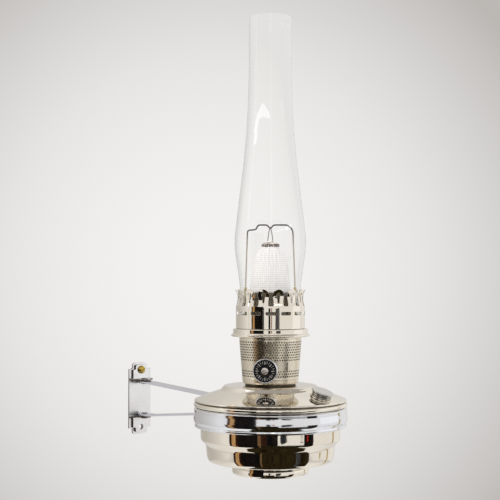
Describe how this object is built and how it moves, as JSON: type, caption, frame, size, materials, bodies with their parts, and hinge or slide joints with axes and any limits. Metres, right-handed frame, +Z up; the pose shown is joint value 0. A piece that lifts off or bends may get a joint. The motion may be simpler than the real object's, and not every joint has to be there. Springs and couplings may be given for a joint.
{
  "type": "wall bracket oil lamp",
  "caption": "Mantle oil lamp with tall glass chimney and nickel font, held in the ring of a swinging two-strap wall bracket.",
  "frame": {"origin": "centre of the wall plate's back face, where it meets the wall", "axes": "+Y into the wall, so the arm and the lamp reach out along -Y; +Z up, along the lamp's axis; +X to the right seen from the room"},
  "size_m": [0.1576, 0.3126, 0.469],
  "materials": {
    "bracket_chrome": "polished",
    "nickel": "polished nickel plate",
    "brass": "satin",
    "burner_brass": "satin",
    "steel": "satin",
    "black_enamel": "gloss",
    "gasket_rubber": "matt",
    "wick_cotton": "woven cotton",
    "mantle_knit": "fine knit",
    "dark_thread": "twisted thread",
    "clear_glass": "clear"
  },
  "bodies": {
    "bracket": {"wall_plate": "bracket_chrome", "ear_bracket_upper": "bracket_chrome", "ear_bracket_lower": "bracket_chrome", "wall_screw_upper": "brass", "pivot_pin_upper": "bracket_chrome", "pivot_pin_lower": "bracket_chrome"},
    "arm": {"arm_strap_upper": "bracket_chrome", "arm_strap_lower": "bracket_chrome", "ring_band": "bracket_chrome", "strap_rivet_upper": "bracket_chrome", "strap_rivet_lower": "bracket_chrome"},
    "font": {"font_foot_ring": "nickel", "font_bowl": "nickel", "font_top": "nickel", "filler_neck": "nickel", "burner_collar": "nickel"},
    "filler_cap_unit": {"filler_cap": "nickel", "filler_gasket": "gasket_rubber"},
    "burner": {"burner_base": "burner_brass", "burner_basket": "nickel", "outer_wick_tube": "burner_brass", "inner_wick_tube": "burner_brass", "spindle_bushing": "burner_brass", "flame_spreader": "steel"},
    "knob_unit": {"wick_gear": "burner_brass", "knob_spindle": "burner_brass", "wick_knob": "bracket_chrome", "knob_face": "black_enamel", "knob_screw": "bracket_chrome"},
    "wick_unit": {"wick": "wick_cotton", "wick_carrier": "burner_brass"},
    "gallery_unit": {"gallery": "nickel", "gallery_crown": "nickel"},
    "mantle_unit": {"mantle_base": "steel", "mantle_post_left": "brass", "mantle_post_right": "brass", "mantle_wire": "steel", "mantle_cord": "dark_thread", "mantle_gather": "dark_thread", "mantle": "mantle_knit"},
    "chimney_unit": {"chimney": "clear_glass"}
  },
  "joints": [
    {"name": "arm_swing", "type": "hinge", "parent": "bracket", "child": "arm", "pos_m": [0, -0.01, 0], "axis": [0, 0, 1], "range_deg": [-65, 65]},
    {"name": "font_lift", "type": "slide", "parent": "arm", "child": "font", "axis": [0, 0, 1], "range_m": [0, 0.1]},
    {"name": "filler_cap_lift", "type": "slide", "parent": "font", "child": "filler_cap_unit", "axis": [0.0302, -0.3448, 0.9382], "range_m": [0, 0.03]},
    {"name": "burner_lift", "type": "slide", "parent": "font", "child": "burner", "axis": [0, 0, 1], "range_m": [0, 0.12]},
    {"name": "knob_turn", "type": "hinge", "parent": "burner", "child": "knob_unit", "pos_m": [-0.03195, -0.23607, 0.0456], "axis": [0.7986, 0.6018, 0], "range_deg": [-60, 75]},
    {"name": "wick_raise", "type": "slide", "parent": "burner", "child": "wick_unit", "axis": [0, 0, 1], "range_m": [-0.0043, 0.0053]},
    {"name": "gallery_lift", "type": "slide", "parent": "burner", "child": "gallery_unit", "axis": [0, 0, 1], "range_m": [0, 0.08]},
    {"name": "mantle_lift", "type": "slide", "parent": "gallery_unit", "child": "mantle_unit", "axis": [0, 0, 1], "range_m": [0, 0.06]},
    {"name": "chimney_lift", "type": "slide", "parent": "gallery_unit", "child": "chimney_unit", "axis": [0, 0, 1], "range_m": [0, 0.13]}
  ],
  "couplings": [
    {"joint": "wick_raise", "follows": "knob_turn", "m_per_rad": 0.004}
  ]
}
